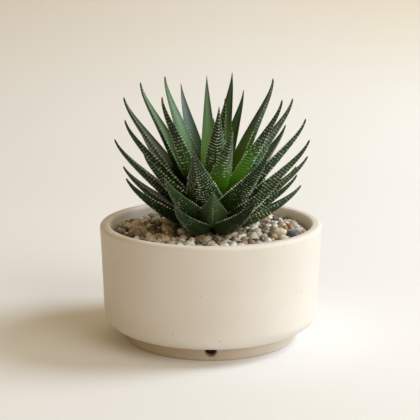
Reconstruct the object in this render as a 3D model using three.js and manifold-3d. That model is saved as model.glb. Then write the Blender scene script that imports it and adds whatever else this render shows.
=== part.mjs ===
// A small haworthia in a round stoneware pot, built as it is potted: bowl, soil, gravel, stem and leaves.
// Millimetres, +Z up. The origin is the centre of the pot's foot, on the surface that it stands on.
// The weep hole in the foot faces -Y. Neighbouring pieces keep a small gap, so no two solids touch.
import * as THREE from "three";
import { mergeVertices } from "three/addons/utils/BufferGeometryUtils.js";
import Module from "manifold-3d";

const wasm = await Module();
wasm.setup();

// ---- Driving dimensions ----

const gap = 0.3; // air between neighbouring pieces

const pot = {
  sides: 36,
  rimRadius: 60,
  rimHeight: 63.2,
  rimWall: 5.7,
  lipRound: 2.3,
  beltRadius: 57.6, // outside of the wall just above the rounded lower corner
  cornerRound: 9.6,
  footRadius: 47.4,
  footWidth: 5.4,
  footHeight: 8.4,
  footChamfer: 0.8,
  floorThickness: 6,
  innerCorner: 8,
  drainRadius: 6, // hole in the middle of the floor
  weepRadius: 3, // hole through the front of the foot, which empties the hollow under the floor
  weepHeight: 5.2,
};

const soil = {
  top: 51.8,
  sides: 32,
};

const gravel = {
  bedTop: 56.6,
  innerRadius: 6.5, // the plain hole that the stem comes up through
  sides: 32,
  rows: 4, // rings of pebbles from the wall inwards
  pebble: 7.6, // middle size of a pebble
  seed: 7,
};

const stem = {
  sides: 12,
  radius: 6,
  rootRadius: 2.5,
  rootEnd: 40,
  crownHeight: 98,
  budHeight: 5, // the pointed bud that closes the heart of the rosette
};

const leafShape = {
  start: 4.5, // distance of a leaf's root from the plant's axis, inside the stem
  lowest: 60.8, // height of the roots of the most spreading leaves
  rise: 0.38, // how much higher a leaf is rooted for each degree that it stands more upright
  flattest: 65, // lean of the most spreading leaves, in degrees from upright
  bendUpright: -10, // an upright leaf arches outwards by this many degrees from root to tip
  bendSpreading: 26, // and a spreading leaf turns up by this many
  bendPower: 1.8, // above 1, the bend gathers towards the tip
  hookUpright: 35, // degrees more that the last stretch of an upright leaf turns up
  hookSpreading: 10, // and the same for a spreading leaf
  hookPower: 10,
  upright: 30, // lean of the leaves that count as upright, in degrees
  spreading: 68,
  shoulder: 0.3, // where a leaf is widest, as a share of its length
  taper: 1.2, // 1 narrows in straight lines from there to the tip, and more keeps the leaf full for longer
  rootShare: 0.6, // width at the root as a share of the widest
  depth: 0.34, // thickness as a share of the width
  edge: 0.6, // thickness that a leaf keeps even at its tip
  bandPitch: 7.4, // distance between the raised bands of tubercles on the outer face
  bandRise: 0.5,
  spaceSections: 9, // a leaf's space, which its neighbours keep clear of, is this coarse
  spaceMargin: 0.2, // and this much wider for it
};

// Every leaf, from the low outer ones to the heart: the way it points (degrees from +X towards +Y),
// its lean from upright, its length and its greatest width.
const leaves = [
  { azimuth: 272, lean: 56, length: 42, width: 18 },
  { azimuth: 246, lean: 64, length: 46, width: 17 },
  { azimuth: 298, lean: 63, length: 50, width: 17 },
  { azimuth: 204, lean: 58, length: 52, width: 17 },
  { azimuth: 356, lean: 63, length: 50, width: 15 },
  { azimuth: 176, lean: 56, length: 52, width: 14 },
  { azimuth: 20, lean: 59, length: 54, width: 15 },
  { azimuth: 48, lean: 62, length: 52, width: 15 },
  { azimuth: 76, lean: 59, length: 54, width: 15 },
  { azimuth: 102, lean: 63, length: 52, width: 15 },
  { azimuth: 128, lean: 59, length: 54, width: 15 },
  { azimuth: 152, lean: 64, length: 48, width: 14 },
  { azimuth: 239, lean: 54, length: 51, width: 17 },
  { azimuth: 317, lean: 55, length: 56, width: 15 },
  { azimuth: 341, lean: 57, length: 52, width: 13 },
  { azimuth: 305, lean: 48, length: 62, width: 18 },
  { azimuth: 359, lean: 54, length: 59, width: 13 },
  { azimuth: 186, lean: 48, length: 63, width: 14 },
  { azimuth: 213, lean: 45, length: 52, width: 14 },
  { azimuth: 259, lean: 44, length: 57, width: 19 },
  { azimuth: 334, lean: 49, length: 69, width: 15 },
  { azimuth: 34, lean: 46, length: 64, width: 15 },
  { azimuth: 60, lean: 47, length: 64, width: 15 },
  { azimuth: 88, lean: 45, length: 64, width: 15 },
  { azimuth: 115, lean: 47, length: 64, width: 15 },
  { azimuth: 143, lean: 46, length: 64, width: 15 },
  { azimuth: 350, lean: 42, length: 69, width: 15 },
  { azimuth: 198, lean: 40, length: 66, width: 15 },
  { azimuth: 166, lean: 37, length: 73, width: 15 },
  { azimuth: 10, lean: 35, length: 70, width: 15 },
  { azimuth: 333, lean: 32, length: 69, width: 14 },
  { azimuth: 158, lean: 30, length: 73, width: 14 },
  { azimuth: 213, lean: 24, length: 62, width: 13 },
  { azimuth: 18, lean: 25.5, length: 71, width: 15 },
  { azimuth: 291, lean: 30, length: 52, width: 13 },
  { azimuth: 57, lean: 27, length: 63.5, width: 11 },
  { azimuth: 142, lean: 23, length: 69, width: 13 },
  { azimuth: 114, lean: 31, length: 71, width: 12 },
  { azimuth: 280, lean: 21, length: 55.4, width: 12 },
  { azimuth: 65, lean: 20, length: 68, width: 12 },
  { azimuth: 95, lean: 18, length: 65, width: 9 },
  { azimuth: 298, lean: 12, length: 52, width: 9 },
];

// ---- Helpers ----

const radians = THREE.MathUtils.degToRad;

const smooth = (value) => THREE.MathUtils.smoothstep(value, 0, 1);

// A seeded stream of numbers from 0 to 1, the same on every run.
function seededDraws(seed) {
  let state = seed;
  return () => {
    state = (state * 1103515245 + 12345) % 2147483648;
    return state / 2147483648;
  };
}

function solidOf(geometry) {
  const bare = geometry.index ? geometry.toNonIndexed() : geometry.clone();
  bare.deleteAttribute("normal");
  bare.deleteAttribute("uv");
  const merged = mergeVertices(bare, 1e-4);
  return new wasm.Manifold(
    new wasm.Mesh({
      numProp: 3,
      vertProperties: new Float32Array(merged.attributes.position.array),
      triVerts: new Uint32Array(merged.index.array),
    }),
  );
}

function geometryOf(solid) {
  const mesh = solid.getMesh();
  const geometry = new THREE.BufferGeometry();
  geometry.setAttribute("position", new THREE.BufferAttribute(mesh.vertProperties, 3));
  geometry.setIndex(new THREE.BufferAttribute(mesh.triVerts, 1));
  return geometry;
}

// The largest body of a solid: a cut may leave a scrap behind, which is dropped.
function largestBody(solid) {
  return solid.decompose().reduce((best, body) => (body.volume() > best.volume() ? body : best));
}

// A turned piece about +Z from a profile of [radius, height] points, listed anticlockwise.
function turned(points, sides) {
  const profile = points.map(([radius, height]) => new THREE.Vector2(radius, height));
  return new THREE.LatheGeometry(profile, sides).rotateX(Math.PI / 2);
}

// Points of an arc in the profile plane, both ends included.
function arc([centreRadius, centreHeight], radius, from, to, steps) {
  return Array.from({ length: steps + 1 }, (_, step) => {
    const angle = radians(from + ((to - from) * step) / steps);
    return [centreRadius + radius * Math.cos(angle), centreHeight + radius * Math.sin(angle)];
  });
}

// ---- Pot ----

const rimInner = pot.rimRadius - pot.rimWall;
const floorTop = pot.footHeight + pot.floorThickness;
const innerBelt = rimInner - (pot.rimRadius - pot.beltRadius);
const footInner = pot.footRadius - pot.footWidth;

function potProfile() {
  const lip = pot.lipRound;
  const lipBase = pot.rimHeight - lip;
  return [
    [footInner, 0],
    [pot.footRadius - pot.footChamfer, 0],
    [pot.footRadius, pot.footChamfer],
    [pot.footRadius, pot.footHeight],
    ...arc([pot.beltRadius - pot.cornerRound, pot.footHeight + pot.cornerRound], pot.cornerRound, -85, 0, 4),
    ...arc([pot.rimRadius - lip, lipBase], lip, 0, 90, 3),
    ...arc([rimInner + lip, lipBase], lip, 90, 180, 3),
    ...arc([innerBelt - pot.innerCorner, floorTop + pot.innerCorner], pot.innerCorner, 0, -90, 3),
    [pot.drainRadius, floorTop],
    [pot.drainRadius, pot.footHeight],
    [footInner, pot.footHeight],
    [footInner, 0],
  ];
}

function potSolid() {
  const reach = pot.footWidth + 4;
  const drill = new THREE.CylinderGeometry(pot.weepRadius, pot.weepRadius, reach, 16);
  drill.translate(0, -(pot.footRadius - pot.footWidth / 2), pot.weepHeight);
  return solidOf(turned(potProfile(), pot.sides)).subtract(solidOf(drill));
}

// ---- Soil, with a plain hole that the stem stands in ----

// Inside radius of the pot's wall at a height above its rounded inner corner.
function wallRadius(height) {
  const from = floorTop + pot.innerCorner;
  const share = (height - from) / (pot.rimHeight - pot.lipRound - from);
  return innerBelt + (rimInner - innerBelt) * share;
}

function soilGeometry() {
  const corner = pot.innerCorner;
  const centre = [innerBelt - corner, floorTop + corner];
  const hole = stem.radius + gap;
  return turned(
    [
      [0, floorTop + gap],
      ...arc(centre, corner - gap, -90, 0, 3),
      [wallRadius(soil.top) - gap, soil.top],
      [hole, soil.top],
      [hole, stem.rootEnd - gap],
      [0, stem.rootEnd - gap],
    ],
    soil.sides,
  );
}

// ---- Gravel: a bed with pebbles sunk into it ----

function pebbleGeometry({ x, y, size, flat, turn }) {
  const stone = new THREE.SphereGeometry(size / 2, 6, 4).rotateX(Math.PI / 2);
  stone.scale(1, 0.8, flat);
  stone.rotateZ(turn);
  stone.translate(x, y, gravel.bedTop);
  return stone;
}

function gravelSolid() {
  const draw = seededDraws(gravel.seed);
  const outer = wallRadius(gravel.bedTop) - gap - 0.2;
  const bed = solidOf(
    turned(
      [
        [gravel.innerRadius, soil.top + gap],
        [wallRadius(soil.top) - gap - 0.2, soil.top + gap],
        [outer, gravel.bedTop],
        [gravel.innerRadius, gravel.bedTop],
        [gravel.innerRadius, soil.top + gap],
      ],
      gravel.sides,
    ),
  );
  const stones = [];
  for (let row = 0; row < gravel.rows; row += 1) {
    const radius = outer - 4.2 - row * gravel.pebble * 1.12;
    const count = Math.round((2 * Math.PI * radius) / (gravel.pebble * 1.05));
    for (let index = 0; index < count; index += 1) {
      const angle = ((index + 0.5 * (row % 2) + 0.3 * (draw() - 0.5)) / count) * 2 * Math.PI;
      const size = gravel.pebble * (0.8 + 0.4 * draw());
      const distance = Math.min(radius + (draw() - 0.5) * 1.6, outer - 0.2 - size / 2);
      stones.push(
        solidOf(
          pebbleGeometry({
            x: distance * Math.cos(angle),
            y: distance * Math.sin(angle),
            size,
            flat: 0.6 + 0.3 * draw(),
            turn: draw() * Math.PI,
          }),
        ),
      );
    }
  }
  const heaped = stones.reduce((joined, stone) => joined.add(stone), bed);
  return leaves.reduce((rest, leaf) => rest.subtract(leafSpace(leaf)), heaped);
}

// ---- Stem ----

function stemProfile(grow) {
  return [
    [0, stem.rootEnd - grow],
    [stem.rootRadius + grow, stem.rootEnd - grow],
    [stem.radius + grow, stem.rootEnd + 9],
    [stem.radius + grow, leafShape.lowest + 2],
    [stem.radius * 0.75 + grow, leafShape.lowest + 10],
    [stem.radius * 0.35 + grow, stem.crownHeight],
    [0, stem.crownHeight + stem.budHeight + grow],
  ];
}

// ---- Leaves ----

// Width of a leaf at a share of its length: a narrow root, a shoulder, then a long taper to a fine tip.
function leafWidth(share, widest) {
  const { shoulder, rootShare, taper } = leafShape;
  if (share < shoulder) return widest * (rootShare + (1 - rootShare) * smooth(share / shoulder));
  return widest * (1 - ((share - shoulder) / (1 - shoulder)) ** taper);
}

// How far a leaf leans at a share of its length, in radians from upright. On average it is the leaf's own lean.
function leafSlope(leaf, share) {
  const { bendUpright, bendSpreading, bendPower, hookUpright, hookSpreading, hookPower } = leafShape;
  const spread = smooth((leaf.lean - leafShape.upright) / (leafShape.spreading - leafShape.upright));
  const bend = THREE.MathUtils.lerp(bendUpright, bendSpreading, spread);
  const hook = THREE.MathUtils.lerp(hookUpright, hookSpreading, spread);
  const bent = bend * (1 / (1 + bendPower) - share ** bendPower);
  const hooked = hook * (1 / (1 + hookPower) - share ** hookPower);
  return radians(leaf.lean + bent + hooked);
}

// The spine lies in the upright plane that the leaf points along, and its tip is hooked upwards.
function leafSpine(leaf, sections, beyond) {
  const { lowest, rise, flattest } = leafShape;
  const step = leaf.length / sections;
  const points = [];
  let out = leafShape.start;
  let up = lowest + rise * Math.max(0, flattest - leaf.lean);
  for (let ring = 0; ring <= sections; ring += 1) {
    points.push({ share: ring / sections, out, up, slope: leafSlope(leaf, ring / sections) });
    const run = ring === sections - 1 ? step + beyond : step;
    const middle = leafSlope(leaf, (ring + 0.5) / sections);
    out += run * Math.sin(middle);
    up += run * Math.cos(middle);
  }
  return points;
}

// One leaf: five points round each section, flat above and keeled below.
// Every second section stands out on the lower side, as a band of tubercles that crosses it.
function leafGeometry(leaf, sections, grow) {
  const azimuth = radians(leaf.azimuth);
  const outward = new THREE.Vector3(Math.cos(azimuth), Math.sin(azimuth), 0);
  const sideways = new THREE.Vector3(-Math.sin(azimuth), Math.cos(azimuth), 0);
  const spine = leafSpine(leaf, sections, 4 * grow);
  const positions = [];
  const addPoint = (base, across, down) => {
    const point = outward.clone().multiplyScalar(base.out + Math.cos(base.slope) * down);
    point.addScaledVector(sideways, across);
    point.z = base.up - Math.sin(base.slope) * down;
    positions.push(point.x, point.y, point.z);
  };
  spine.slice(0, -1).forEach((base, ring) => {
    const width = leafWidth(base.share, leaf.width);
    const raised = grow > 0 || ring % 2 === 1 ? leafShape.bandRise * (1 - base.share) : 0;
    const half = width / 2 + 1.6 * grow + raised;
    const deep = leafShape.depth * width + leafShape.edge + grow + raised;
    addPoint(base, -half, -grow);
    addPoint(base, -half * 0.62, deep * 0.66);
    addPoint(base, 0, deep);
    addPoint(base, half * 0.62, deep * 0.66);
    addPoint(base, half, -grow);
  });
  addPoint(spine.at(-1), 0, leafShape.edge / 2);
  addPoint(spine[0], 0, leafShape.depth * 2);
  const count = 5;
  const tip = sections * count;
  const faces = [];
  for (let side = 0; side < count; side += 1) {
    const next = (side + 1) % count;
    for (let ring = 0; ring < sections - 1; ring += 1) {
      const [a, b, c, d] = [side, next, next + count, side + count].map((at) => at + ring * count);
      faces.push(a, b, c, a, c, d);
    }
    faces.push(tip - count + side, tip - count + next, tip);
    faces.push(next, side, tip + 1);
  }
  const geometry = new THREE.BufferGeometry();
  geometry.setAttribute("position", new THREE.Float32BufferAttribute(positions, 3));
  geometry.setIndex(faces);
  return geometry;
}

// The room that a leaf takes up: a plain form a little wider than the leaf, which its neighbours keep clear of.
function leafSpace(leaf) {
  return solidOf(leafGeometry(leaf, leafShape.spaceSections, gap + leafShape.spaceMargin));
}

// Leaves press against each other near the stem. Each gives way to the leaves listed before it.
function leafSolids() {
  const stemSpace = solidOf(turned(stemProfile(gap), stem.sides));
  return leaves.map((leaf, index) => {
    const bands = Math.round(leaf.length / leafShape.bandPitch);
    const whole = solidOf(leafGeometry(leaf, bands * 2, 0)).subtract(stemSpace);
    return largestBody(leaves.slice(0, index).reduce((rest, other) => rest.subtract(leafSpace(other)), whole));
  });
}

// ---- The object ----

const finishes = {
  stoneware: new THREE.MeshStandardMaterial({ color: 0xe3d8c6, roughness: 0.75, metalness: 0 }),
  soil: new THREE.MeshStandardMaterial({ color: 0x3d2f24, roughness: 1, metalness: 0 }),
  pebbles: new THREE.MeshStandardMaterial({ color: 0xb9a78e, roughness: 0.8, metalness: 0 }),
  stem: new THREE.MeshStandardMaterial({ color: 0x8a9a5b, roughness: 0.7, metalness: 0 }),
  leaf: new THREE.MeshStandardMaterial({ color: 0x2f5a34, roughness: 0.45, metalness: 0 }),
};

const plant = new THREE.Group();

function place(name, geometry, finish) {
  const mesh = new THREE.Mesh(geometry, finishes[finish].clone());
  mesh.name = name;
  plant.add(mesh);
}

place("pot", geometryOf(potSolid()), "stoneware");
place("soil", soilGeometry(), "soil");
place("gravel", geometryOf(gravelSolid()), "pebbles");
place("stem", turned(stemProfile(0), stem.sides), "stem");
leafSolids().forEach((solid, index) => {
  place(`leaf_${String(index + 1).padStart(2, "0")}`, geometryOf(solid), "leaf");
});

export default plant;
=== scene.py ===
import math
import random

import bpy
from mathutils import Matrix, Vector


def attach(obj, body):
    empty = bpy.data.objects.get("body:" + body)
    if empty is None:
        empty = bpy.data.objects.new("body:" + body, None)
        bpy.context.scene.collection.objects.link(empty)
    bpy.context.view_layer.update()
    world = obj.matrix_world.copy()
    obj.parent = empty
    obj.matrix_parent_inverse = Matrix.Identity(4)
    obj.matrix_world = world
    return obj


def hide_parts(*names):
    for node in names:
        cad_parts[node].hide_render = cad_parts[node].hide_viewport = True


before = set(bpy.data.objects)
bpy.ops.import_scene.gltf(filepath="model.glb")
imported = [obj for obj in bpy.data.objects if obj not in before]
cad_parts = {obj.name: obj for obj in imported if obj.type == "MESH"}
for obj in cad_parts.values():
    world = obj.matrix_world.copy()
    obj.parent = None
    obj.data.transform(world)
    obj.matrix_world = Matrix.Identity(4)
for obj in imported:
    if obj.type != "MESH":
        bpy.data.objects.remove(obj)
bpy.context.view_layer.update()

mm = 0.001
scene = bpy.context.scene


# a node socket that can be added, multiplied and so on, each step being one Math node
class Field:
    def __init__(self, tree, socket):
        self.tree, self.socket = tree, socket

    def step(self, operation, *others):
        node = self.tree.nodes.new("ShaderNodeMath")
        node.operation = operation
        self.tree.links.new(self.socket, node.inputs[0])
        for place, other in enumerate(others, 1):
            feed(self.tree, node.inputs[place], other)
        return Field(self.tree, node.outputs[0])

    def __add__(self, other): return self.step("ADD", other)
    def __sub__(self, other): return self.step("SUBTRACT", other)
    def __rsub__(self, other): return self.step("MULTIPLY", -1.0).step("ADD", other)
    def __mul__(self, other): return self.step("MULTIPLY", other)
    def __rmul__(self, other): return self.step("MULTIPLY", other)
    def __truediv__(self, other): return self.step("DIVIDE", other)
    def __rtruediv__(self, other): return self.step("POWER", -1.0).step("MULTIPLY", other)
    def __pow__(self, other): return self.step("POWER", other)
    def __gt__(self, other): return self.step("GREATER_THAN", other)
    def __lt__(self, other): return self.step("LESS_THAN", other)
    def sine(self): return self.step("SINE")
    def cosine(self): return self.step("COSINE")
    def size(self): return self.step("ABSOLUTE")
    def root(self): return self.step("SQRT")
    def least(self, other): return self.step("MINIMUM", other)
    def most(self, other): return self.step("MAXIMUM", other)

    def smooth(self, low, high):
        node = self.tree.nodes.new("ShaderNodeMapRange")
        node.interpolation_type = "SMOOTHSTEP"
        self.tree.links.new(self.socket, node.inputs["Value"])
        feed(self.tree, node.inputs["From Min"], low)
        feed(self.tree, node.inputs["From Max"], high)
        return Field(self.tree, node.outputs["Result"])


def feed(tree, place, value):
    if isinstance(value, Field):
        tree.links.new(value.socket, place)
    elif isinstance(value, bpy.types.NodeSocket):
        tree.links.new(value, place)
    else:
        place.default_value = value


def addNode(tree, kind, settings=None, **inputs):
    node = tree.nodes.new(kind)
    for name, value in (settings or {}).items():
        setattr(node, name, value)
    for name, value in inputs.items():
        feed(tree, node.inputs[name], value)
    return node


def joinParts(tree, parts):
    joined = addNode(tree, "ShaderNodeCombineXYZ")
    for place, part in zip(joined.inputs, parts):
        feed(tree, place, part)
    return joined.outputs[0]


def splitParts(tree, vector):
    parts = addNode(tree, "ShaderNodeSeparateXYZ", Vector=vector)
    return [Field(tree, part) for part in parts.outputs]


def objectPlace(tree):
    return addNode(tree, "ShaderNodeTexCoord").outputs["Object"]


def newTree(name, inputs):
    tree = bpy.data.node_groups.new(name, "GeometryNodeTree")
    tree.interface.new_socket(name="Geometry", in_out="INPUT", socket_type="NodeSocketGeometry")
    for label, (kind, value) in inputs.items():
        socket = tree.interface.new_socket(name=label, in_out="INPUT", socket_type=kind)
        socket.default_value = value
    tree.interface.new_socket(name="Geometry", in_out="OUTPUT", socket_type="NodeSocketGeometry")
    return tree, tree.nodes.new("NodeGroupInput"), tree.nodes.new("NodeGroupOutput")


def runTree(tree, name, base, values):
    # the tree as a modifier, its result as a plain mesh at the origin
    carrier = bpy.data.objects.new(name + "Carrier", base)
    scene.collection.objects.link(carrier)
    modifier = carrier.modifiers.new("rule", "NODES")
    modifier.node_group = tree
    for item in tree.interface.items_tree:
        if item.item_type == "SOCKET" and item.in_out == "INPUT" and item.name in values:
            modifier[item.identifier] = values[item.name]
    graph = bpy.context.evaluated_depsgraph_get()
    mesh = bpy.data.meshes.new_from_object(carrier.evaluated_get(graph))
    carrier.modifiers.remove(modifier)
    bpy.data.objects.remove(carrier)
    piece = bpy.data.objects.new(name, mesh)
    scene.collection.objects.link(piece)
    return piece


def newPiece(name, points, faces, smooth=False):
    mesh = bpy.data.meshes.new(name)
    mesh.from_pydata(points, [], faces)
    mesh.polygons.foreach_set("use_smooth", [smooth] * len(faces))
    piece = bpy.data.objects.new(name, mesh)
    scene.collection.objects.link(piece)
    return piece


def paint(piece, material):
    piece.data.materials.clear()
    piece.data.materials.append(material)


def newMaterial(name):
    material = bpy.data.materials.new(name)
    material.use_nodes = True
    tree = material.node_tree
    return material, tree, tree.nodes["Principled BSDF"]


def attribute(tree, name):
    return Field(tree, addNode(tree, "ShaderNodeAttribute", {"attribute_name": name}).outputs["Fac"])


def noise(tree, scale, detail=3.0, vector=None):
    place = objectPlace(tree) if vector is None else vector
    node = addNode(tree, "ShaderNodeTexNoise", Vector=place, Scale=scale, Detail=detail)
    return Field(tree, node.outputs["Fac"])


def blendColour(tree, amount, first, second):
    # a Mix node's colours are its inputs 6 and 7 and its output 2
    node = addNode(tree, "ShaderNodeMix", {"data_type": "RGBA"}, Factor=amount)
    for place, value in ((6, first), (7, second)):
        feed(tree, node.inputs[place], (*value, 1.0) if isinstance(value, tuple) else value)
    return node.outputs[2]


def bump(tree, shader, height, strength, distance):
    node = addNode(tree, "ShaderNodeBump", Height=height, Strength=strength, Distance=distance)
    tree.links.new(node.outputs["Normal"], shader.inputs["Normal"])


lens = {"focal": 96.97, "sensor": 36.0, "place": (-0.00038, -0.600, 0.1995), "down": 12.25}
cameraData = bpy.data.cameras.new("camera")
cameraData.lens = lens["focal"]
cameraData.sensor_width = lens["sensor"]
camera = bpy.data.objects.new("camera", cameraData)
camera.location = lens["place"]
camera.rotation_euler = (math.radians(90 - lens["down"]), 0.0, 0.0)
scene.collection.objects.link(camera)
scene.camera = camera
print("camera set")


# a paper sweep with painted shade, darker as it rises and more so at the right, with a lamp at the right and a
# fill in front
studio = {
    "width": 9.0, "front": -8.0, "bendStart": 0.42, "bendRadius": 0.7, "bendSteps": 16, "height": 2.6,
    "paper": (0.845, 0.848, 0.845), "paperShade": (0.605, 0.505, 0.325), "roughness": 0.9,
    "shadeHeight": 0.20, "shadeBase": 0.40, "shadeRight": 0.22, "rightReach": 0.3, "cloud": 0.1, "cloudScale": 1.4,
    "keyPower": 19.8, "keySize": 0.78, "keyPlace": (1.15, 0.165, 1.05), "keyColour": (0.81, 0.90, 1.0),
    "fillPower": 31.5, "fillSize": 1.9, "fillPlace": (1.7, -1.55, 1.27), "fillColour": (0.87, 0.90, 0.91),
    "aimHeight": 0.06, "air": (1.0, 0.71, 0.335), "airStrength": 0.385,
}


def paperFinish():
    material, tree, shader = newMaterial("paperSweep")
    across, _, height = splitParts(tree, objectPlace(tree))
    # painted shade: the paper is painted darker higher up and towards the right, where less lamp light reaches
    # it
    far = height.smooth(0.0, studio["shadeHeight"])
    right = across.smooth(0.0, studio["rightReach"]) * studio["shadeRight"]
    cloud = noise(tree, studio["cloudScale"], 2.0) * studio["cloud"]
    shade = far * (right + studio["shadeBase"] + cloud)
    colour = blendColour(tree, shade, studio["paper"], studio["paperShade"])
    tree.links.new(colour, shader.inputs["Base Color"])
    shader.inputs["Roughness"].default_value = studio["roughness"]
    return material


def makeSweep():
    line = [(studio["front"], 0.0), (studio["bendStart"], 0.0)]
    for step in range(1, studio["bendSteps"] + 1):
        turn = math.radians(90 * step / studio["bendSteps"])
        line.append((studio["bendStart"] + studio["bendRadius"] * math.sin(turn),
                     studio["bendRadius"] * (1 - math.cos(turn))))
    line.append((line[-1][0], studio["height"]))
    half = studio["width"] / 2
    points = [(side * half, y, z) for y, z in line for side in (-1, 1)]
    faces = [(2 * row, 2 * row + 1, 2 * row + 3, 2 * row + 2) for row in range(len(line) - 1)]
    sweep = newPiece("sweep", points, faces, smooth=True)
    paint(sweep, paperFinish())
    return sweep


def makeLamp(name, place, size, power, colour):
    data = bpy.data.lights.new(name, "AREA")
    data.shape = "DISK"
    data.size = size
    data.energy = power
    data.color = colour
    lamp = bpy.data.objects.new(name, data)
    lamp.location = place
    aim = Vector((0.0, 0.0, studio["aimHeight"])) - Vector(place)
    lamp.rotation_euler = aim.to_track_quat("-Z", "Y").to_euler()
    scene.collection.objects.link(lamp)


makeSweep()
makeLamp("keyLamp", studio["keyPlace"], studio["keySize"], studio["keyPower"], studio["keyColour"])
makeLamp("fillLamp", studio["fillPlace"], studio["fillSize"], studio["fillPower"], studio["fillColour"])
world = bpy.data.worlds.new("room")
world.use_nodes = True
world.node_tree.nodes["Background"].inputs["Color"].default_value = (*studio["air"], 1.0)
world.node_tree.nodes["Background"].inputs["Strength"].default_value = studio["airStrength"]
scene.world = world
scene.view_settings.view_transform = "Standard"
print("studio lit")


# the pot in millimetres; the wall's points are radius and height
pot = {
    "sides": 144, "rimRadius": 60, "rimHeight": 63.2, "rimWall": 5.7, "lipRound": 2.3,
    "bellyRadius": 58.5, "cornerRound": 7.8, "bellyBase": 7.6, "innerTaper": 2.4,
    "wallPoints": ((58.8, 28.0), (59.2, 40.0), (59.6, 52.0)),
    "footRadius": 47.4, "footWidth": 5.4, "footHeight": 8.4, "footChamfer": 0.8,
    "floorThickness": 6, "floorMiddle": 26, "innerCorner": 8, "drainRadius": 6,
    "weepRadius": 3, "weepHeight": 5.2, "weepSides": 40, "drillOut": 0.4, "drillIn": 2,
}
rimInner = pot["rimRadius"] - pot["rimWall"]
floorTop = pot["footHeight"] + pot["floorThickness"]
innerBelly = rimInner - pot["innerTaper"]
footInner = pot["footRadius"] - pot["footWidth"]


def arc(centre, radius, start, end, steps):
    turns = [math.radians(start + (end - start) * step / steps) for step in range(steps + 1)]
    return [(centre[0] + radius * math.cos(turn), centre[1] + radius * math.sin(turn)) for turn in turns]


def potOutline():
    # the wall's section, anticlockwise, from the inside edge of the foot
    # points that stand less than 2 mm from an edge keep its shading crisp
    lip, chamfer = pot["lipRound"], pot["footChamfer"]
    lipBase = pot["rimHeight"] - lip
    corner, inner = pot["cornerRound"], pot["innerCorner"]
    foot, base, ceiling = pot["footRadius"], pot["bellyBase"], pot["footHeight"]
    drain, middle = pot["drainRadius"], pot["floorMiddle"]
    return [
        (footInner + 0.4, 0), (footInner + 1.2, 0), (foot - chamfer - 1.0, 0),
        *arc((foot - chamfer, chamfer), chamfer, -90, 0, 5),
        (foot, 4.0), (foot, base - 0.9),
        (foot + 0.15, base - 0.3),
        *arc((pot["bellyRadius"] - corner, base + corner), corner, -88, 0, 18),
        *pot["wallPoints"],
        *arc((pot["rimRadius"] - lip, lipBase), lip, 0, 90, 9),
        *arc((rimInner + lip, lipBase), lip, 90, 180, 9),
        (rimInner - 0.7, 45.0), (innerBelly + 0.5, 32.0),
        *arc((innerBelly - inner, floorTop + inner), inner, 0, -90, 10),
        (middle, floorTop), (drain + 0.6, floorTop), (drain, floorTop - 0.6),
        (drain, ceiling + 0.6), (drain + 0.6, ceiling),
        (middle, ceiling), (footInner - 0.8, ceiling), (footInner, ceiling - 0.8),
        (footInner, 3.0), (footInner, 0.4),
    ]


def makeDrill():
    # a rod along Y that cuts the weep hole through the front of the foot
    ring, radius = pot["weepSides"], pot["weepRadius"] * mm
    height = pot["weepHeight"] * mm
    points = []
    for y in (-(pot["footRadius"] + pot["drillOut"]) * mm, -(footInner - pot["drillIn"]) * mm):
        for side in range(ring):
            turn = 2 * math.pi * side / ring
            points.append((radius * math.cos(turn), y, height + radius * math.sin(turn)))
    faces = [(side, side + ring, (side + 1) % ring + ring, (side + 1) % ring) for side in range(ring)]
    faces += [tuple(range(ring)), tuple(reversed(range(ring, 2 * ring)))]
    return newPiece("drill", points, faces)


def makePot():
    outline = potOutline()
    count, sides = len(outline), pot["sides"]
    points, faces = [], []
    for side in range(sides):
        turn = 2 * math.pi * side / sides
        points += [(r * mm * math.cos(turn), r * mm * math.sin(turn), z * mm) for r, z in outline]
    for side in range(sides):
        here, there = side * count, (side + 1) % sides * count
        for step in range(count):
            ahead = (step + 1) % count
            faces.append((here + step, there + step, there + ahead, here + ahead))
    body = newPiece("potBody", points, faces, smooth=True)
    drill = makeDrill()
    cut = body.modifiers.new("weep", "BOOLEAN")
    cut.object, cut.operation, cut.solver = drill, "DIFFERENCE", "EXACT"
    graph = bpy.context.evaluated_depsgraph_get()
    finished = bpy.data.meshes.new_from_object(body.evaluated_get(graph))
    body.modifiers.remove(cut)
    bpy.data.objects.remove(drill)
    body.data = finished
    return body


# heights and radii in metres, each pair being where a change begins and ends
stoneware = {
    "clay": (0.70, 0.655, 0.59), "paleClay": (0.755, 0.71, 0.652), "inside": (0.95, 0.905, 0.83),
    "toastedShaded": (0.50, 0.375, 0.245), "fleck": (0.30, 0.20, 0.12),
    "cloudScale": 26.0, "grainScale": 900.0, "fleckScale": 212.0, "fleckSize": 0.13, "fleckShare": 0.1,
    "fleckDepth": 0.28, "bareFrom": (0.0060, 0.0084), "wallFrom": (0.0552, 0.0572), "rimFrom": (0.045, 0.05),
    "toastShade": 0.65, "litRight": 0.5, "rightReach": 0.045, "roughness": 0.58, "specular": 0.35,
}


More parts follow.
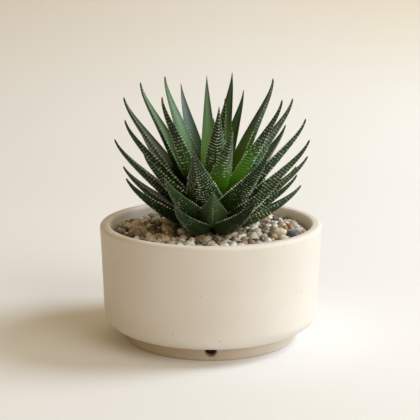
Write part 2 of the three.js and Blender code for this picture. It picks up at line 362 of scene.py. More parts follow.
def stonewareFinish():
    material, tree, shader = newMaterial("creamStoneware")
    place = objectPlace(tree)
    x, y, height = splitParts(tree, place)
    cloud = noise(tree, stoneware["cloudScale"], 4.0, place)
    grain = noise(tree, stoneware["grainScale"], 3.0, place)
    colour = blendColour(tree, cloud.smooth(0.3, 0.72), stoneware["clay"], stoneware["paleClay"])
    # iron flecks, each in the middle of a cell, in one cell out of ten
    cells = addNode(tree, "ShaderNodeTexVoronoi", {"feature": "F1"}, Vector=place,
                    Scale=stoneware["fleckScale"])
    middle = Field(tree, cells.outputs["Distance"]) < stoneware["fleckSize"]
    chosen = splitParts(tree, cells.outputs["Color"])[0] > 1.0 - stoneware["fleckShare"]
    colour = blendColour(tree, middle * chosen * stoneware["fleckDepth"], colour, stoneware["fleck"])
    outward = (x ** 2.0 + y ** 2.0).root()
    # painted light: the inside wall below the rim is painted paler, in place of the light that reaches it
    inside = (1.0 - outward.smooth(*stoneware["wallFrom"])) * height.smooth(*stoneware["rimFrom"])
    colour = blendColour(tree, inside, colour, stoneware["inside"])
    bare = 1.0 - height.smooth(*stoneware["bareFrom"])
    # the unglazed foot is painted darker, partly as toasted clay and partly as painted shade under the belly,
    # less so at the right where the lamp lights it
    toastedShaded = bare * (stoneware["toastShade"] - x.smooth(0.0, stoneware["rightReach"]) * stoneware["litRight"])
    colour = blendColour(tree, toastedShaded, colour, stoneware["toastedShaded"])
    tree.links.new(colour, shader.inputs["Base Color"])
    feed(tree, shader.inputs["Roughness"], cloud * 0.12 + stoneware["roughness"] + bare * 0.15)
    shader.inputs["Specular IOR Level"].default_value = stoneware["specular"]
    bump(tree, shader, cloud * 0.5 + grain * 0.3, 0.25, 0.0004)
    return material


potPiece = makePot()
paint(potPiece, stonewareFinish())
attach(potPiece, "root")
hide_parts("pot")
print("pot thrown:", len(potPiece.data.polygons), "faces")


# a leaf's lengths in millimetres and its angles in degrees; upright and spreading are the leans
# between which the bend along the leaf and the hook at its tip change
leafShape = {
    "start": 4.5, "lowest": 60.8, "rise": 0.38, "flattest": 65,
    "upright": 30, "spreading": 68, "bendUpright": -10, "bendSpreading": 26, "bendPower": 1.8,
    "hookUpright": 35, "hookSpreading": 10, "hookPower": 10,
    "shoulder": 0.3, "taper": 1.2, "rootShare": 0.6, "depth": 0.34, "edge": 0.6,
    "rings": 72, "around": 32, "rim": 0.32, "channel": 0.05, "keelPower": 2.26, "keelSharp": 0.75,
    "keelFrom": (0.3, 0.9), "tipClose": 0.015, "rootClose": 0.014, "closeMerge": 2e-6,
}


def leafPlace(tree, share, turn, value, shift):
    # the leaf's rule: where a point lies at a share of the length and a turn round the section
    # turn runs 0 to pi over the keeled lower face and on to 2 pi over the upper one
    lean, length, widest = value["Lean"], value["Length"], value["Width"]
    spread = lean.smooth(leafShape["upright"], leafShape["spreading"])
    bend = spread * (leafShape["bendSpreading"] - leafShape["bendUpright"]) + leafShape["bendUpright"]
    hook = spread * (leafShape["hookSpreading"] - leafShape["hookUpright"]) + leafShape["hookUpright"]

    def curve(part, amount, power):
        return amount * (1.0 / (1.0 + power) - part.most(0.0) ** power)

    def slopeAt(part):
        bent = curve(part, bend, leafShape["bendPower"])
        hooked = curve(part, hook, leafShape["hookPower"])
        return (lean + bent + hooked) * (math.pi / 180)

    def summed(amount):
        # adds up the steps along each column of the lattice, up to the one before this point
        node = addNode(tree, "GeometryNodeAccumulateField", {"data_type": "FLOAT", "domain": "POINT"})
        feed(tree, node.inputs[0], amount)
        feed(tree, node.inputs[1], shift["column"])
        return Field(tree, node.outputs["Trailing"])

    run = length * shift["stepShare"]
    middle = slopeAt(share + 0.5 * shift["stepShare"])
    slope = slopeAt(share)
    raised = (leafShape["flattest"] - lean).most(0.0) * leafShape["rise"]
    out = summed(run * middle.sine()) + leafShape["start"]
    up = summed(run * middle.cosine()) + leafShape["lowest"] + raised
    out = out + slope.sine() * shift["along"]
    up = up + slope.cosine() * shift["along"]

    shoulder, rootShare = leafShape["shoulder"], leafShape["rootShare"]
    below = (share / shoulder).smooth(0.0, 1.0) * (1.0 - rootShare) + rootShare
    above = 1.0 - ((share - shoulder) / (1.0 - shoulder)).most(0.0) ** leafShape["taper"]
    width = widest * below * above
    deep = width * leafShape["depth"] + leafShape["edge"]
    across = turn.cosine()
    lower = turn.sine() > -0.0001
    # round under the base, and keeled more and more sharply towards the tip
    sharp = leafShape["keelPower"] - leafShape["keelSharp"] * share.smooth(*leafShape["keelFrom"])
    keel = deep * (1.0 - across.size() ** sharp)
    hollow = (width * leafShape["channel"] + leafShape["rim"]) * (1.0 - across * across)
    rounded = turn.sine() * leafShape["rim"] * (1.0 - 0.6 * lower)
    down = keel * lower + hollow * (1.0 - lower) + rounded
    tip, root = leafShape["tipClose"], leafShape["rootClose"]
    closeTip = (1.0 - ((share - (1 - tip)) / tip).most(0.0) ** 2.0).most(0.0).root()
    closeRoot = (1.0 - ((root - share) / root).most(0.0) ** 2.0).most(0.0).root()
    close = closeTip * closeRoot
    middleDown = deep * 0.45
    down = middleDown + (down - middleDown) * close
    side = across * width * 0.5 * close
    radial = out + slope.cosine() * down
    height = up - slope.sine() * down
    azimuth = value["Azimuth"] * (math.pi / 180)
    x = azimuth.cosine() * radial - azimuth.sine() * side
    y = azimuth.sine() * radial + azimuth.cosine() * side
    return joinParts(tree, (x * mm, y * mm, height * mm)), width, azimuth


def lattice(tree, rows, columns):
    # a grid whose rows run along the leaf and whose columns run round it, with both as shares from 0 to 1
    grid = addNode(tree, "GeometryNodeMeshGrid", **{"Size X": 1.0, "Size Y": 1.0})
    feed(tree, grid.inputs["Vertices X"], rows)
    feed(tree, grid.inputs["Vertices Y"], columns)
    x, y, _ = splitParts(tree, addNode(tree, "GeometryNodeInputPosition").outputs[0])
    return grid, x + 0.5, y + 0.5


def keepAttribute(tree, geometry, name, value):
    settings = {"data_type": "FLOAT", "domain": "POINT"}
    node = addNode(tree, "GeometryNodeStoreNamedAttribute", settings, Geometry=geometry, Name=name,
                   Value=value)
    return node.outputs["Geometry"]


def readAttribute(tree, name):
    node = addNode(tree, "GeometryNodeInputNamedAttribute", {"data_type": "FLOAT"}, Name=name)
    return Field(tree, node.outputs[0])


def randomField(tree, low, high, seed):
    node = addNode(tree, "FunctionNodeRandomValue", {"data_type": "FLOAT"}, Seed=seed)
    node.inputs[2].default_value = low
    node.inputs[3].default_value = high
    return Field(tree, node.outputs[1])


# the white bumps; lengths in millimetres, places as shares of the leaf's length
tubercle = {
    "bandPitch": 1.7, "columns": 19, "fineColumns": 27,
    "size": 0.38, "edgeSize": 0.40, "form": (1.6, 0.75, 0.8),
    "rowShare": 0.62, "smoothBase": 0.22, "marginStart": 0.18, "keelStart": 0.42, "last": 0.965,
    "jitter": 0.12, "sway": 0.05, "smallest": 0.6, "largest": 1.2, "fullest": 0.96,
    "usualWidth": 12.0, "narrowest": 0.3, "widest": 1.1, "segments": 6, "rings": 3, "seed": 11,
}


def growSkin(tree, value):
    rings, around = leafShape["rings"], leafShape["around"]
    grid, share, part = lattice(tree, rings + 1, around + 1)
    turn = part * (2 * math.pi)
    shift = {"stepShare": 1.0 / rings, "column": part * around + 0.5, "along": 0.0}
    place = leafPlace(tree, share, turn, value, shift)[0]
    kept = keepAttribute(tree, grid.outputs["Mesh"], "share", share)
    kept = keepAttribute(tree, kept, "across", turn.cosine())
    kept = keepAttribute(tree, kept, "inner", (turn.sine() * -1.0).smooth(0.0, 0.3))
    moved = addNode(tree, "GeometryNodeSetPosition", Geometry=kept, Position=place)
    merged = addNode(tree, "GeometryNodeMergeByDistance", Geometry=moved.outputs[0],
                     Distance=leafShape["closeMerge"])
    return merged.outputs[0]


def growTubercles(tree, value):
    # on a lattice of bands over the lower face and both margins
    bandCount, columns, seed = value["Bands"], value["Columns"], value["Seed"]
    grid, share, part = lattice(tree, bandCount, columns)
    turn = part * math.pi
    jitter = randomField(tree, -tubercle["jitter"], tubercle["jitter"], seed)
    shift = {"stepShare": 1.0 / (bandCount - 1.0), "column": part * (columns - 1.0) + 0.5, "along": jitter}
    sway = randomField(tree, -tubercle["sway"], tubercle["sway"], seed + 5.0)
    place, width, azimuth = leafPlace(tree, share, turn + sway, value, shift)

    # how likely a bump is: rows that fill up above the smooth base, and full margins and keel
    across = turn.cosine().size()
    margin = (across > 0.995) * (share > tubercle["marginStart"])
    keel = (across < 0.1) * (share > tubercle["keelStart"])
    start = value["Smooth Base"]
    dense = (value["Row Share"] + share.smooth(0.6, 0.9) * 0.2) * share.smooth(start, start + 0.22)
    dense = dense * (1.0 - across.smooth(0.72, 0.97) * 0.5)
    chance = (dense + margin + keel).least(tubercle["fullest"]) * (share < tubercle["last"])

    nearKeel = 1.0 - across.smooth(0.1, 0.5)
    bold = value["Bead Size"] * (share.smooth(start, start + 0.3) * 0.4 + 0.6) * (nearKeel * 0.25 + 1.0)
    bold = bold * (1.0 - margin) + margin * value["Edge Bead"] * (share.smooth(0.15, 0.55) * 0.5 + 0.5)
    slender = (width / tubercle["usualWidth"]).most(tubercle["narrowest"]).least(tubercle["widest"])
    white = (randomField(tree, 0.2, 0.7, seed + 4.0) + margin * 0.5 + nearKeel * 0.35).least(1.0)
    # share and turn come from the flat lattice, so what hangs on them is kept before it is bent to the leaf
    kept = keepAttribute(tree, grid.outputs["Mesh"], "beadChance", chance)
    kept = keepAttribute(tree, kept, "beadRadius", slender * bold * mm)
    kept = keepAttribute(tree, kept, "white", white)
    moved = addNode(tree, "GeometryNodeSetPosition", Geometry=kept, Position=place)

    # each bump lies along its band and stands out of the skin
    chosen = randomField(tree, 0.0, 1.0, seed + 9.0) < readAttribute(tree, "beadChance")
    sideways = joinParts(tree, (azimuth.sine() * -1.0, azimuth.cosine()))
    facing = addNode(tree, "FunctionNodeAxesToRotation", {"primary_axis": "Z", "secondary_axis": "X"})
    tree.links.new(addNode(tree, "GeometryNodeInputNormal").outputs[0], facing.inputs[0])
    tree.links.new(sideways, facing.inputs[1])
    varied = randomField(tree, tubercle["smallest"], tubercle["largest"], seed + 2.0)
    radius = readAttribute(tree, "beadRadius") * varied
    spread = joinParts(tree, [radius * factor for factor in tubercle["form"]])
    bead = addNode(tree, "GeometryNodeMeshUVSphere", Segments=tubercle["segments"],
                   Rings=tubercle["rings"], Radius=1.0)
    marked = keepAttribute(tree, bead.outputs["Mesh"], "bead", 1.0)
    dotted = addNode(tree, "GeometryNodeInstanceOnPoints", Points=moved.outputs[0], Selection=chosen,
                     Instance=marked, Rotation=facing.outputs[0], Scale=spread)
    return dotted.outputs[0]


def leafTree(skin, beadPaint):
    names = ("Azimuth", "Lean", "Length", "Width", "Bands", "Paleness", "Gold", "Brown",
             "Bead Size", "Smooth Base", "Row Share", "Edge Bead", "Light")
    sizes = {name: ("NodeSocketFloat", 1.0) for name in names}
    sizes["Seed"] = ("NodeSocketInt", 1)
    sizes["Columns"] = ("NodeSocketInt", tubercle["columns"])
    tree, given, result = newTree("leafRule", sizes)
    value = {name: Field(tree, given.outputs[name]) for name in sizes}
    both = addNode(tree, "GeometryNodeJoinGeometry")
    skinMesh = growSkin(tree, value)
    tree.links.new(growTubercles(tree, value), both.inputs[0])
    tree.links.new(skinMesh, both.inputs[0])
    geometry = addNode(tree, "GeometryNodeRealizeInstances", Geometry=both.outputs[0]).outputs[0]
    # what the skin's colours depend on
    for name in ("Bands", "Paleness", "Gold", "Brown", "Light"):
        geometry = keepAttribute(tree, geometry, name.lower(), value[name])
    geometry = keepAttribute(tree, geometry, "relief", value["Bead Size"] / tubercle["size"])
    smoothed = addNode(tree, "GeometryNodeSetShadeSmooth", Geometry=geometry)
    painted = addNode(tree, "GeometryNodeSetMaterial", Geometry=smoothed.outputs[0], Material=skin)
    isBead = readAttribute(tree, "bead") > 0.5
    dotPaint = addNode(tree, "GeometryNodeSetMaterial", Geometry=painted.outputs[0], Selection=isBead,
                       Material=beadPaint)
    tree.links.new(dotPaint.outputs[0], result.inputs[0])
    return tree


leafSkin = {
    "deep": (0.003, 0.012, 0.002), "green": (0.010, 0.033, 0.006), "light": (0.055, 0.100, 0.036),
    "innerDeep": (0.014, 0.052, 0.009), "innerPale": (0.140, 0.265, 0.130), "innerGrey": (0.11, 0.165, 0.145),
    "edgeDeep": (0.006, 0.020, 0.004), "edgePale": (0.040, 0.085, 0.040), "innerBaseShade": (0.008, 0.030, 0.005),
    "gold": (0.085, 0.270, 0.010), "goldRidge": (0.210, 0.470, 0.080), "goldInner": (0.190, 0.380, 0.030),
    "ridge": (0.12, 0.19, 0.075), "line": (0.25, 0.33, 0.16), "tip": (0.14, 0.085, 0.05),
    "ridgeFrom": (0.26, 0.5), "roughness": 0.34, "specular": 0.24,
    "subsurface": 0.05, "subsurfaceRadius": (0.4, 1.0, 0.2), "subsurfaceScale": 0.002,
}


def leafSkinFinish():
    material, tree, shader = newMaterial("leafSkin")
    share, signedAcross = attribute(tree, "share"), attribute(tree, "across")
    across, inner = signedAcross.size(), attribute(tree, "inner")
    paleness, gold, brown = attribute(tree, "paleness"), attribute(tree, "gold"), attribute(tree, "brown")
    cloud = noise(tree, 95.0, 3.0)
    # fine streaks that run along the leaf
    along = joinParts(tree, (signedAcross * 6.0, share * 2.5, gold + paleness * 7.0))
    streak = noise(tree, 1.6, 3.0, along)
    # a low ridge under each band of tubercles
    waver = noise(tree, 140.0, 2.0) * 1.1
    ridge = ((share * (attribute(tree, "bands") - 1.0) + waver) * (2 * math.pi)).cosine() * 0.5 + 0.5
    crest = ridge.smooth(0.55, 1.0)
    ridged = share.smooth(*leafSkin["ridgeFrom"])
    relief = attribute(tree, "relief") * (1.0 - inner * 0.8)

    colour = blendColour(tree, cloud.smooth(0.3, 0.7), leafSkin["deep"], leafSkin["green"])
    # painted sheen: lit leaves are painted lighter away from the base, in place of the light that falls on
    # them
    colour = blendColour(tree, attribute(tree, "light") * share.smooth(0.05, 0.4), colour, leafSkin["light"])
    # the inner face, with darker margins, and painted shade that darkens it towards the base where the leaves
    # crowd
    innerColour = blendColour(tree, paleness, leafSkin["innerDeep"], leafSkin["innerPale"])
    innerColour = blendColour(tree, paleness.smooth(0.82, 0.9), innerColour, leafSkin["innerGrey"])
    innerDark = blendColour(tree, paleness, leafSkin["edgeDeep"], leafSkin["edgePale"])
    edging = across.smooth(0.2, 0.85) * 0.8 + streak.smooth(0.45, 0.75) * 0.3
    innerColour = blendColour(tree, edging, innerColour, innerDark)
    # painted shade towards the base of the inner face
    innerColour = blendColour(tree, share.smooth(0.2, 0.65), leafSkin["innerBaseShade"], innerColour)
    colour = blendColour(tree, inner, colour, innerColour)
    # the yellow-green base of the leaves in the heart
    base = gold * (1.0 - share.smooth(0.3, 0.72))
    ribbed = crest * ridged * (1.0 - inner * 0.7)
    goldColour = blendColour(tree, ribbed, leafSkin["gold"], leafSkin["goldRidge"])
    goldColour = blendColour(tree, inner * 0.8, goldColour, leafSkin["goldInner"])
    colour = blendColour(tree, base * 0.92, colour, goldColour)
    # the bands, the keel and margins, and the dry tip
    colour = blendColour(tree, crest * share.smooth(0.2, 0.5) * relief * 0.11, colour, leafSkin["ridge"])
    keelLine = (1.0 - across.smooth(0.0, 0.13)) * (1.0 - inner) * share.smooth(0.38, 0.6)
    marginLine = across.smooth(0.94, 1.0) * share.smooth(0.1, 0.3)
    colour = blendColour(tree, (keelLine * 0.35 + marginLine * 0.4).least(0.5), colour, leafSkin["line"])
    colour = blendColour(tree, brown * share.smooth(0.90, 1.0) * 0.9, colour, leafSkin["tip"])
    tree.links.new(colour, shader.inputs["Base Color"])
    feed(tree, shader.inputs["Roughness"], cloud * 0.16 + leafSkin["roughness"])
    shader.inputs["Specular IOR Level"].default_value = leafSkin["specular"]
    shader.inputs["Subsurface Weight"].default_value = leafSkin["subsurface"]
    shader.inputs["Subsurface Radius"].default_value = leafSkin["subsurfaceRadius"]
    shader.inputs["Subsurface Scale"].default_value = leafSkin["subsurfaceScale"]
    ribs = ridge * ridged * (relief * 0.5 + base * (1.0 - inner) * 0.6)
    bump(tree, shader, ribs + noise(tree, 420.0, 2.0) * 0.4 + streak * 0.3, 0.5, 0.0006)
    return material


beadSkin = {"green": (0.24, 0.36, 0.19), "white": (0.88, 0.92, 0.80), "roughness": 0.6}


def beadFinish():
    material, tree, shader = newMaterial("whiteTubercle")
    shade = attribute(tree, "white") * (noise(tree, 300.0, 2.0) * 0.4 + 0.8)
    colour = blendColour(tree, shade, beadSkin["green"], beadSkin["white"])
    tree.links.new(colour, shader.inputs["Base Color"])
    shader.inputs["Roughness"].default_value = beadSkin["roughness"]
    return material


# azimuth, lean, length, width; then how pale the inner face is, how yellow the base, how brown the tip
leafTable = [
    (272, 56, 42, 18, 0.55, 0.0, 0.1), (246, 64, 46, 17, 0.35, 0.0, 0.1), (298, 63, 50, 17, 0.30, 0.1, 0.1),
    (204, 58, 52, 17, 0.20, 0.0, 0.2), (356, 63, 50, 15, 0.45, 0.2, 0.1), (176, 56, 52, 14, 0.20, 0.0, 0.2),
    (20, 59, 54, 15, 0.4, 0.1, 0.2), (48, 62, 52, 15, 0.4, 0.1, 0.2), (76, 59, 54, 15, 0.4, 0.1, 0.2),
    (102, 63, 52, 15, 0.4, 0.1, 0.2), (128, 59, 54, 15, 0.4, 0.1, 0.2), (152, 64, 48, 14, 0.4, 0.1, 0.2),
    (239, 54, 51, 17, 0.40, 0.0, 0.3), (317, 55, 56, 15, 0.30, 0.1, 0.6), (341, 57, 52, 13, 0.30, 0.1, 0.2),
    (305, 48, 62, 18, 0.15, 0.1, 0.5), (359, 54, 59, 13, 0.30, 0.1, 0.2), (186, 48, 63, 14, 0.40, 0.0, 0.2),
    (213, 45, 52, 14, 0.40, 0.0, 0.3), (259, 44, 57, 19, 0.40, 0.1, 0.3), (334, 49, 69, 15, 0.30, 0.1, 0.2),
    (34, 46, 64, 15, 0.4, 0.2, 0.2), (60, 47, 64, 15, 0.4, 0.2, 0.2), (88, 45, 64, 15, 0.4, 0.2, 0.2),
    (115, 47, 64, 15, 0.4, 0.2, 0.2), (143, 46, 64, 15, 0.4, 0.2, 0.2), (350, 42, 69, 15, 0.35, 0.2, 0.2),
    (198, 40, 66, 15, 0.28, 0.1, 0.2), (166, 37, 73, 15, 0.33, 0.1, 0.1), (10, 35, 70, 15, 0.45, 0.6, 0.4),
    (333, 32, 69, 14, 0.20, 1.0, 0.5), (158, 30, 73, 14, 0.80, 0.2, 0.1), (213, 24, 62, 13, 0.30, 0.3, 0.9),
    (18, 25.5, 71, 15, 0.22, 0.6, 0.2), (291, 30, 52, 13, 0.50, 1.0, 0.9), (57, 27, 63.5, 11, 0.40, 0.5, 0.2),
    (142, 23, 69, 13, 0.75, 0.2, 0.1), (114, 31, 71, 12, 0.90, 0.2, 0.1), (280, 21, 55.4, 12, 0.40, 0.35, 0.9),
    (65, 20, 68, 12, 0.30, 0.8, 0.2), (95, 18, 65, 9, 0.80, 0.6, 0.1), (298, 12, 52, 9, 0.40, 0.6, 0.3),
]

# what sets single leaves apart, by number: how bold their tubercles are, how far up they are smooth,
# how full their rows are, how far apart the rows of finer tubercles are, how bold those on the margins
# are, and how much painted sheen lightens the skin where light falls on it
leafTraits = {
    "bold": {
        1: 0.5, 2: 0.55, 3: 0.5, 4: 0.65, 5: 1.15, 6: 0.7, 13: 0.6, 14: 1.1, 15: 1.1, 16: 0.5, 17: 1.15,
        18: 0.75, 19: 0.85, 20: 0.6, 21: 1.15, 27: 1.15, 28: 0.75, 29: 0.75, 32: 0.75, 33: 0.95, 35: 1.0,
        39: 1.2,
    },
    "smooth": {
        1: 0.5, 2: 0.42, 3: 0.5, 4: 0.4, 13: 0.42, 16: 0.30, 20: 0.26, 31: 0.34, 33: 0.2, 34: 0.45,
        35: 0.34, 39: 0.3,
    },
    "full": {1: 0.55, 2: 0.5, 3: 0.3, 4: 0.45, 6: 0.45, 13: 0.5, 16: 0.65, 20: 0.8, 35: 0.75, 39: 0.8},
    "finePitch": {1: 2.1, 13: 1.7, 16: 1.5, 20: 1.8},
    "edge": {1: 0.55, 2: 0.55, 3: 0.75, 13: 0.7, 20: 0.8},
    "light": {1: 0.9, 2: 0.2, 5: 0.5, 13: 0.35, 14: 0.2, 15: 0.2, 17: 0.2, 21: 0.3, 27: 0.3, 35: 0.4},
}


def makeLeaves():
    tree = leafTree(leafSkinFinish(), beadFinish())
    base = bpy.data.meshes.new("leafSeed")
    total = 0
    for number, (azimuth, lean, length, width, paleness, gold, brown) in enumerate(leafTable, 1):
        trait = {name: numbers.get(number) for name, numbers in leafTraits.items()}
        pitch = trait["finePitch"] or tubercle["bandPitch"]
        piece = runTree(tree, f"leafBlade_{number:02d}", base, {
            "Azimuth": float(azimuth), "Lean": float(lean), "Length": float(length), "Width": float(width),
            "Paleness": paleness, "Gold": gold, "Brown": brown, "Light": trait["light"] or 0.0,
            "Bands": float(round(length / pitch)),
            "Columns": tubercle["fineColumns" if trait["finePitch"] else "columns"],
            "Bead Size": tubercle["size"] * (trait["bold"] or 1.0),
            "Edge Bead": tubercle["edgeSize"] * (trait["edge"] or 1.0),
            "Smooth Base": trait["smooth"] or tubercle["smoothBase"],
            "Row Share": trait["full"] or tubercle["rowShare"],
            "Seed": tubercle["seed"] + number,
        })
        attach(piece, "root")
        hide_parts(f"leaf_{number:02d}")
        total += sum(len(face.vertices) - 2 for face in piece.data.polygons)
    print("leaves grown:", total, "triangles")


makeLeaves()


# the gravel in millimetres; a layer is its smallest and largest radius and the number of stones sought
gravel = {
    "bedTop": 56.6, "bedLow": 52.3, "inner": 6.8, "outer": 53.3, "closest": 9.0, "packing": 0.82,
    "layers": ((2.8, 3.7, 42), (1.9, 2.7, 240), (1.2, 1.8, 620), (0.7, 1.1, 750)), "tries": 30, "seed": 23,
    "shade": (0.6, 1.3), "brightest": 0.93, "lift": 0.5, "liftShare": 0.15, "uneven": (-1.0, 0.7),
    "pebbleFrom": 2.0, "pebbleSides": (12, 8), "pebbleSeed": 31, "smallSides": (7, 5), "smallSeed": 57,
}
stoneShape = {
    "long": (0.95, 1.15), "wide": (0.72, 0.95), "tall": (0.8, 1.2), "flatness": 0.8, "tilt": 0.35,
    "unevenness": 0.5, "lumpScale": 260.0,
}

# each tint and how often it is drawn
stoneTints = [
    ((0.82, 0.70, 0.53), 9), ((0.93, 0.86, 0.74), 9), ((0.56, 0.42, 0.27), 7), ((0.30, 0.21, 0.13), 4),
    ((0.44, 0.41, 0.37), 3), ((0.10, 0.09, 0.08), 2), ((0.50, 0.27, 0.11), 1), ((0.16, 0.11, 0.075), 3),
]

# stones that stand out: x, y, radius, tint, all on the surface of the bed
featureStones = [
    (-31.6, -22.0, 4.4, (0.66, 0.57, 0.42)), (-22.0, -17.0, 3.1, (0.50, 0.24, 0.08)),
    (-6.5, -37.5, 3.0, (0.76, 0.72, 0.64)), (1.8, -38.2, 3.0, (0.76, 0.72, 0.64)),
    (0.8, -27.5, 2.8, (0.50, 0.38, 0.25)), (5.4, -30.0, 2.6, (0.55, 0.42, 0.27)),
    (-7.0, -27.0, 2.6, (0.12, 0.11, 0.10)), (-43.5, -13.0, 2.6, (0.12, 0.11, 0.10)),
    (14.6, -28.0, 2.5, (0.13, 0.12, 0.11)), (36.0, -8.5, 4.5, (0.80, 0.71, 0.55)),
    (44.2, -12.0, 3.4, (0.11, 0.12, 0.14)), (39.5, 8.0, 3.0, (0.82, 0.74, 0.60)),
    (48.0, 0.5, 3.0, (0.80, 0.76, 0.68)), (47.5, -16.0, 2.6, (0.50, 0.38, 0.25)),
]


def stonePlaces():
    draw = random.Random(gravel["seed"])
    stones = list(featureStones)
    bag = [tint for tint, share in stoneTints for _ in range(share)]
    for smallest, largest, count in gravel["layers"]:
        made = tries = 0
        while made < count and tries < count * gravel["tries"]:
            tries += 1
            radius = draw.uniform(smallest, largest)
            reach = gravel["outer"] - radius * 0.95
            distance = math.sqrt(draw.uniform(gravel["closest"] ** 2, reach ** 2))
            turn = draw.uniform(0, 2 * math.pi)
            x, y = distance * math.cos(turn), distance * math.sin(turn)
            # stones may overlap a little, as they lie on each other
            if all((x - a) ** 2 + (y - b) ** 2 > (gravel["packing"] * (radius + r)) ** 2
                   for a, b, r, _ in stones):
                shade = draw.uniform(*gravel["shade"])
                tint = tuple(min(gravel["brightest"], part * shade) for part in draw.choice(bag))
                stones.append((x, y, radius, tint))
                made += 1
    return stones


def stoneTree(finish):
    tree, given, result = newTree("gravelRule", {
        "Segments": ("NodeSocketInt", 8), "Rings": ("NodeSocketInt", 6),
        "Flatness": ("NodeSocketFloat", stoneShape["flatness"]),
        "Unevenness": ("NodeSocketFloat", stoneShape["unevenness"]), "Seed": ("NodeSocketInt", 1),
    })
    seed, flatness = Field(tree, given.outputs["Seed"]), Field(tree, given.outputs["Flatness"])
    radius, tilt = readAttribute(tree, "size"), stoneShape["tilt"]
    stone = addNode(tree, "GeometryNodeMeshUVSphere", Radius=1.0, Segments=given.outputs["Segments"],
                    Rings=given.outputs["Rings"])
    spread = joinParts(tree, (
        radius * randomField(tree, *stoneShape["long"], seed),
        radius * randomField(tree, *stoneShape["wide"], seed + 1.0),
        radius * flatness * randomField(tree, *stoneShape["tall"], seed + 2.0)))
    lie = joinParts(tree, (
        randomField(tree, -tilt, tilt, seed + 3.0), randomField(tree, -tilt, tilt, seed + 4.0),
        randomField(tree, 0.0, 6.28, seed + 5.0)))
    turned = addNode(tree, "FunctionNodeEulerToRotation")
    tree.links.new(lie, turned.inputs[0])
    laid = addNode(tree, "GeometryNodeInstanceOnPoints", Points=given.outputs["Geometry"],
                   Instance=stone.outputs["Mesh"], Rotation=turned.outputs[0], Scale=spread)
    solid = addNode(tree, "GeometryNodeRealizeInstances", Geometry=laid.outputs[0])
    # each stone is pushed in and out a little, so that no two are alike
    lumps = addNode(tree, "ShaderNodeTexNoise", Scale=stoneShape["lumpScale"], Detail=1.0)
    centred = addNode(tree, "ShaderNodeVectorMath", {"operation": "SUBTRACT"})
    tree.links.new(lumps.outputs["Color"], centred.inputs[0])
    centred.inputs[1].default_value = (0.5, 0.5, 0.5)
    push = radius * Field(tree, given.outputs["Unevenness"]) * 2.0
    scaled = addNode(tree, "ShaderNodeVectorMath", {"operation": "SCALE"}, Scale=push)
    tree.links.new(centred.outputs[0], scaled.inputs[0])
    moved = addNode(tree, "GeometryNodeSetPosition", Geometry=solid.outputs[0], Offset=scaled.outputs[0])
    smoothed = addNode(tree, "GeometryNodeSetShadeSmooth", Geometry=moved.outputs[0])
    painted = addNode(tree, "GeometryNodeSetMaterial", Geometry=smoothed.outputs[0], Material=finish)
    tree.links.new(painted.outputs[0], result.inputs[0])
    return tree


stoneSkin = {
    "darkening": 0.55, "grainScale": 700.0, "veinScale": 260.0, "vein": (0.62, 0.56, 0.46), "roughness": 0.62,
}


def stoneFinish():
    material, tree, shader = newMaterial("riverStone")
    tint = addNode(tree, "ShaderNodeAttribute", {"attribute_name": "tint"}).outputs["Color"]
    grain = noise(tree, stoneSkin["grainScale"], 4.0)
    vein = noise(tree, stoneSkin["veinScale"], 2.0)
    dark = addNode(tree, "ShaderNodeHueSaturation", Value=stoneSkin["darkening"], Color=tint)
    colour = blendColour(tree, grain.smooth(0.35, 0.65) * 0.8, tint, dark.outputs[0])
    colour = blendColour(tree, vein.smooth(0.58, 0.75) * 0.3, colour, stoneSkin["vein"])
    tree.links.new(colour, shader.inputs["Base Color"])
    shader.inputs["Roughness"].default_value = stoneSkin["roughness"]
    bump(tree, shader, grain, 0.3, 0.0003)
    return material


def makeStones(name, stones, tree, sides, seed):
    draw = random.Random(seed)
    base = bpy.data.meshes.new(name + "Places")
    heights = [gravel["bedTop"] + gravel["lift"] + gravel["liftShare"] * r + draw.uniform(*gravel["uneven"])
               for _, _, r, _ in stones]
    base.from_pydata([(x * mm, y * mm, z * mm) for (x, y, _, _), z in zip(stones, heights)], [], [])
    sizes = base.attributes.new("size", "FLOAT", "POINT")
    sizes.data.foreach_set("value", [r * mm for _, _, r, _ in stones])
    tints = base.attributes.new("tint", "FLOAT_COLOR", "POINT")
    tints.data.foreach_set("color", [part for *_, tint in stones for part in (*tint, 1.0)])
    segments, rings = sides
    return runTree(tree, name, base, {"Segments": segments, "Rings": rings, "Seed": seed})


# loose dark matter: its darkest and lightest colour, the size of its crumbs, and how deep they are in metres
# the grit is very dark, both as grit and as painted shade in the gaps between the stones
grit = {"low": (0.025, 0.017, 0.011), "high": (0.13, 0.095, 0.062), "spread": (0.35, 0.65), "scale": 900.0,
        "detail": 5.0, "bump": 0.8, "depth": 0.001}
soil = {"low": (0.02, 0.013, 0.008), "high": (0.075, 0.05, 0.032), "spread": (0.3, 0.7), "scale": 320.0,
        "detail": 6.0, "bump": 0.9, "depth": 0.002}


def crumbFinish(name, crumbs):
    material, tree, shader = newMaterial(name)
    grain = noise(tree, crumbs["scale"], crumbs["detail"])
    colour = blendColour(tree, grain.smooth(*crumbs["spread"]), crumbs["low"], crumbs["high"])
    tree.links.new(colour, shader.inputs["Base Color"])
    shader.inputs["Roughness"].default_value = 0.95
    bump(tree, shader, grain, crumbs["bump"], crumbs["depth"])
    return material


bedShape = {"rows": 30, "sides": 180, "drop": 2.3, "rough": 0.45, "inset": 0.9, "seed": 5}


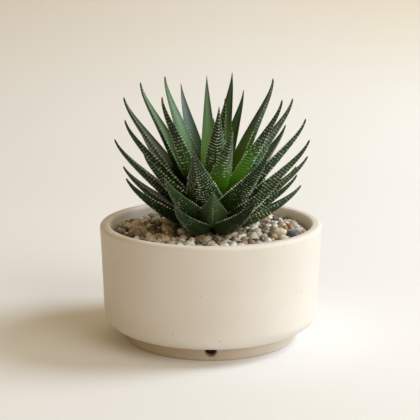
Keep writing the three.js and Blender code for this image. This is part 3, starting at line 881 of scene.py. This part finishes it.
def makeBed():
    # the grit between the stones, painted dark also as shade in the gaps, a closed ring with a rough top
    draw = random.Random(bedShape["seed"])
    rows, sides = bedShape["rows"], bedShape["sides"]
    points, faces = [], []

    def addRing(radius, heightOf):
        for side in range(sides):
            turn = 2 * math.pi * side / sides
            points.append((radius * mm * math.cos(turn), radius * mm * math.sin(turn), heightOf() * mm))

    def roughTop():
        return gravel["bedTop"] - bedShape["drop"] + draw.uniform(-bedShape["rough"], bedShape["rough"])

    wide = gravel["outer"] - gravel["inner"]
    for row in range(rows + 1):
        addRing(gravel["inner"] + wide * row / rows, roughTop)
    for radius in (gravel["inner"], gravel["outer"] - bedShape["inset"]):
        addRing(radius, lambda: gravel["bedLow"])
    last, low, edge = rows * sides, (rows + 1) * sides, (rows + 2) * sides
    for side in range(sides):
        ahead = (side + 1) % sides
        for row in range(rows):
            a, b = row * sides, (row + 1) * sides
            faces.append((a + side, b + side, b + ahead, a + ahead))
        faces.append((last + side, edge + side, edge + ahead, last + ahead))
        faces.append((edge + side, low + side, low + ahead, edge + ahead))
        faces.append((low + side, side, ahead, low + ahead))
    bed = newPiece("gritBed", points, faces)
    paint(bed, crumbFinish("gritAndGapShade", grit))
    return bed


def makeGravel():
    stones = stonePlaces()
    tree = stoneTree(stoneFinish())
    big = [stone for stone in stones if stone[2] >= gravel["pebbleFrom"]]
    small = [stone for stone in stones if stone[2] < gravel["pebbleFrom"]]
    pieces = [
        makeBed(),
        makeStones("pebbles", big, tree, gravel["pebbleSides"], gravel["pebbleSeed"]),
        makeStones("smallStones", small, tree, gravel["smallSides"], gravel["smallSeed"]),
    ]
    for piece in pieces:
        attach(piece, "root")
        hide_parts("gravel")
    print("gravel laid:", len(stones), "stones")


makeGravel()


# the stem is brown where it is buried and green in the heart of the plant; heights in metres
stem = {
    "skin": (0.16, 0.20, 0.06), "paleSkin": (0.27, 0.31, 0.12), "brown": (0.16, 0.09, 0.045),
    "green": (0.075, 0.18, 0.018), "buriedTo": (0.052, 0.062), "greenFrom": (0.075, 0.095), "roughness": 0.7,
}


def stemFinish():
    material, tree, shader = newMaterial("fleshyStem")
    height = splitParts(tree, objectPlace(tree))[2]
    fibre = noise(tree, 260.0, 4.0)
    colour = blendColour(tree, fibre.smooth(0.3, 0.7), stem["skin"], stem["paleSkin"])
    buried = 1.0 - height.smooth(*stem["buriedTo"])
    colour = blendColour(tree, buried * 0.85, colour, stem["brown"])
    colour = blendColour(tree, height.smooth(*stem["greenFrom"]), colour, stem["green"])
    tree.links.new(colour, shader.inputs["Base Color"])
    shader.inputs["Roughness"].default_value = stem["roughness"]
    bump(tree, shader, fibre, 0.4, 0.0006)
    return material


# soil and stem keep their CAD shapes
paint(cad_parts["soil"], crumbFinish("pottingSoil", soil))
paint(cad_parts["stem"], stemFinish())
print("soil and stem dressed")
